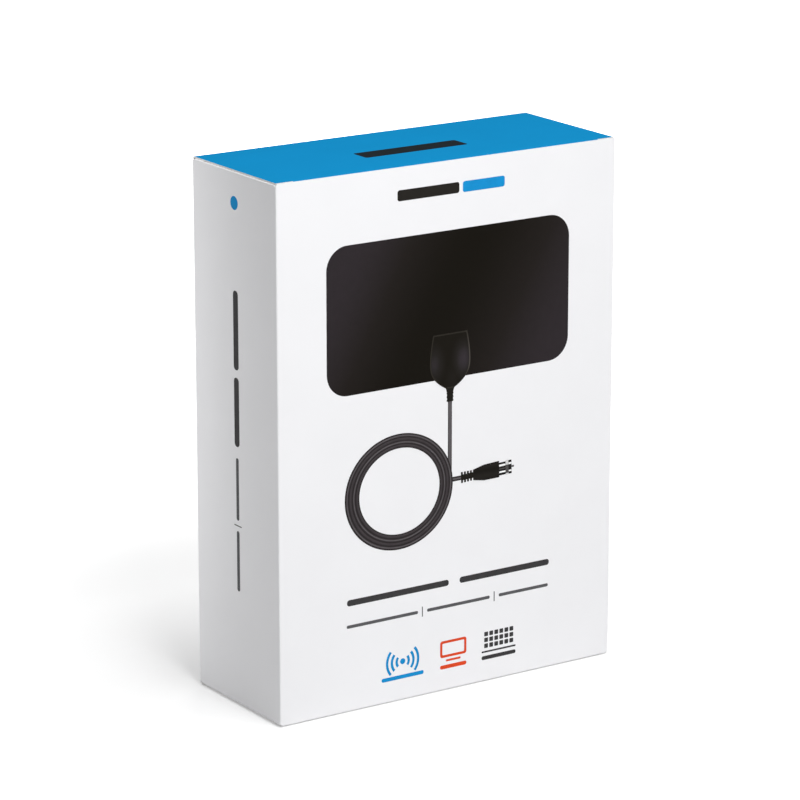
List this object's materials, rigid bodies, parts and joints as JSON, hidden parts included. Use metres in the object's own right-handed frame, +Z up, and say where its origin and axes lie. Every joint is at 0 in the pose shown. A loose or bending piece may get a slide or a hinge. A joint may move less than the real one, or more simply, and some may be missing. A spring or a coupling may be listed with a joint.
{
  "type": "retail folding carton",
  "caption": "Upright folding carton of thin coated board with a hinged tuck-in lid, dust flaps under the lid and a glued base.",
  "frame": {"origin": "middle of the base, on the surface that the carton stands on", "axes": "+Z up, the printed front faces -Y, +X to the right when looking at the front"},
  "size_m": [0.176, 0.068, 0.24],
  "materials": {
    "white_board": "coated, white, satin",
    "blue_board": "coated, printed blue, satin"
  },
  "bodies": {
    "carton": {"carton_body": "white_board"},
    "lid": {"lid": "blue_board"}
  },
  "joints": [
    {"name": "lid_hinge", "type": "hinge", "parent": "carton", "child": "lid", "pos_m": [0, 0.0333, 0.2393], "axis": [-1, 0, 0], "range_deg": [0, 180]}
  ]
}
